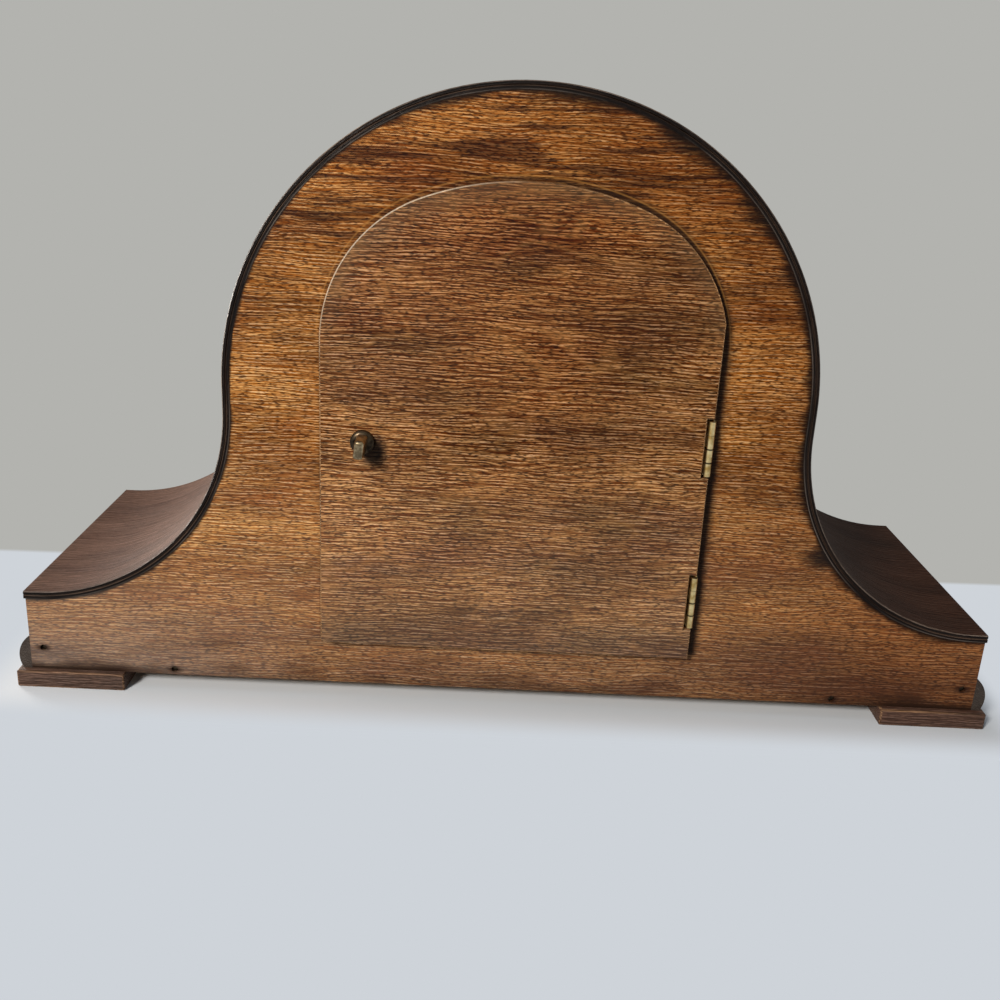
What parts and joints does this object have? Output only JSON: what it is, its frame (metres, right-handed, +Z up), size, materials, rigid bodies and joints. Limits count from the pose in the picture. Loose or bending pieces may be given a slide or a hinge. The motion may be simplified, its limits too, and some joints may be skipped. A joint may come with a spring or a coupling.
{
  "type": "mantel clock",
  "caption": "Domed wooden mantel clock with sweeping shoulders, arched rear door on brass hinges, hinged glazed bezel and a pendulum movement inside.",
  "frame": {"origin": "on the table, under the middle of the case", "axes": "+Z up, the dial faces -Y, the rear door faces +Y, +X to the right as the dial is read"},
  "size_m": [0.3906, 0.1543, 0.2375],
  "materials": {
    "back_ply": "worn amber stained plywood veneer",
    "door_ply": "dull brown stained plywood veneer",
    "case_veneer": "dark oak veneer, dulled polish",
    "foot_wood": "dark stained wood, worn edges",
    "plain_wood": "unfinished softwood",
    "brass": "lacquered brass, lightly aged",
    "steel": "polished clock steel",
    "blued_steel": "blued steel hands",
    "bronze": "dark bronzed metal, worn bright on the grip",
    "dial_face": "silvered and lacquered dial",
    "clear_glass": "clear domed glass"
  },
  "bodies": {
    "case": {"back_panel": "back_ply", "front_panel": "case_veneer", "top_skin": "case_veneer", "left_end_board": "case_veneer", "right_end_board": "case_veneer", "left_end_moulding": "case_veneer", "right_end_moulding": "case_veneer", "front_moulding": "case_veneer", "left_foot": "foot_wood", "right_foot": "foot_wood", "base_board": "plain_wood", "hinge_batten": "plain_wood", "hinge_case_leaves": "brass", "hinge_pins": "brass", "hinge_case_screws": "brass", "bezel_hinge_plate": "brass", "bezel_hinge_pin": "brass", "front_plate": "brass", "back_plate": "brass", "plate_pillars": "brass", "suspension_cock": "brass", "panel_nails": "steel", "pillar_nuts": "steel", "movement_screws": "steel", "dial_plate": "dial_face"},
    "rear_door": {"rear_door": "door_ply", "hinge_blocks": "plain_wood", "hinge_door_leaves": "brass", "hinge_door_screws": "brass"},
    "door_catch": {"catch_knob": "bronze", "catch_spindle": "steel", "catch_tongue": "steel"},
    "bezel": {"bezel_ring": "brass", "bezel_glass": "clear_glass", "glass_retainer": "brass"},
    "centre": {"centre_arbor": "steel", "centre_wheel": "brass", "cannon_pinion": "brass", "minute_hand": "blued_steel", "hand_nut": "brass"},
    "hour": {"hour_wheel": "brass", "hour_hand": "blued_steel"},
    "minute_work": {"minute_wheel": "brass"},
    "intermediate": {"intermediate_wheel": "brass", "intermediate_arbor": "steel"},
    "third": {"third_wheel": "brass", "third_arbor": "steel"},
    "escape": {"escape_wheel": "brass", "escape_arbor": "steel"},
    "spring_barrel": {"barrel": "brass", "barrel_cover": "brass", "mainspring": "steel"},
    "winding": {"winding_arbor": "steel", "ratchet_wheel": "steel"},
    "click_lever": {"click": "steel"},
    "anchor": {"anchor": "steel"},
    "pendulum": {"suspension_spring": "steel", "pendulum_rod": "steel", "pendulum_bob": "brass"},
    "rating": {"rating_nut": "brass"}
  },
  "joints": [
    {"name": "rear_door_swing", "type": "hinge", "parent": "case", "child": "rear_door", "pos_m": [-0.071, 0.06595, 0.11], "axis": [0, 0, 1], "range_deg": [0, 170]},
    {"name": "door_catch_turn", "type": "hinge", "parent": "rear_door", "child": "door_catch", "pos_m": [0.0574, 0.06685, 0.1098], "axis": [0, -1, 0], "range_deg": [0, 90]},
    {"name": "bezel_swing", "type": "hinge", "parent": "case", "child": "bezel", "pos_m": [0.083, -0.065, 0.1275], "axis": [0, 0, 1], "range_deg": [0, 115]},
    {"name": "minute_hand_turn", "type": "hinge", "parent": "case", "child": "centre", "pos_m": [0, -0.05135, 0.1275], "axis": [0, 1, 0], "continuous": true},
    {"name": "hour_hand_turn", "type": "hinge", "parent": "case", "child": "hour", "pos_m": [0, -0.05135, 0.1275], "axis": [0, 1, 0], "continuous": true},
    {"name": "minute_wheel_turn", "type": "hinge", "parent": "case", "child": "minute_work", "pos_m": [0.012, -0.05135, 0.1275], "axis": [0, 1, 0], "continuous": true},
    {"name": "third_wheel_turn", "type": "hinge", "parent": "case", "child": "third", "pos_m": [0.008, -0.05135, 0.14486], "axis": [0, 1, 0], "continuous": true},
    {"name": "escape_wheel_turn", "type": "hinge", "parent": "case", "child": "escape", "pos_m": [0, -0.05135, 0.15867], "axis": [0, 1, 0], "continuous": true},
    {"name": "intermediate_wheel_turn", "type": "hinge", "parent": "case", "child": "intermediate", "pos_m": [-0.01393, -0.05135, 0.11099], "axis": [0, 1, 0], "continuous": true},
    {"name": "barrel_turn", "type": "hinge", "parent": "case", "child": "spring_barrel", "pos_m": [0, -0.05135, 0.084], "axis": [0, 1, 0], "continuous": true},
    {"name": "winding_turn", "type": "hinge", "parent": "case", "child": "winding", "pos_m": [0, -0.05135, 0.084], "axis": [0, 1, 0], "continuous": true},
    {"name": "click_lift", "type": "hinge", "parent": "case", "child": "click_lever", "pos_m": [0.016, -0.05135, 0.0782], "axis": [0, 1, 0], "range_deg": [0, 15]},
    {"name": "pendulum_swing", "type": "hinge", "parent": "case", "child": "pendulum", "pos_m": [0, -0.05135, 0.17416], "axis": [0, 1, 0], "range_deg": [-4, 4]},
    {"name": "anchor_rock", "type": "hinge", "parent": "case", "child": "anchor", "pos_m": [0, -0.05135, 0.17416], "axis": [0, 1, 0], "range_deg": [-4, 4]},
    {"name": "rating_nut_turn", "type": "hinge", "parent": "pendulum", "child": "rating", "pos_m": [0, -0.00635, 0.05416], "axis": [0, 0, 1], "continuous": true}
  ],
  "couplings": [
    {"joint": "hour_hand_turn", "follows": "minute_hand_turn", "ratio": 0.083333},
    {"joint": "minute_wheel_turn", "follows": "minute_hand_turn", "ratio": -0.33333},
    {"joint": "third_wheel_turn", "follows": "minute_hand_turn", "ratio": -12},
    {"joint": "escape_wheel_turn", "follows": "minute_hand_turn", "ratio": 132},
    {"joint": "intermediate_wheel_turn", "follows": "minute_hand_turn", "ratio": -0.2},
    {"joint": "barrel_turn", "follows": "minute_hand_turn", "ratio": 0.025},
    {"joint": "anchor_rock", "follows": "pendulum_swing", "ratio": 1}
  ]
}
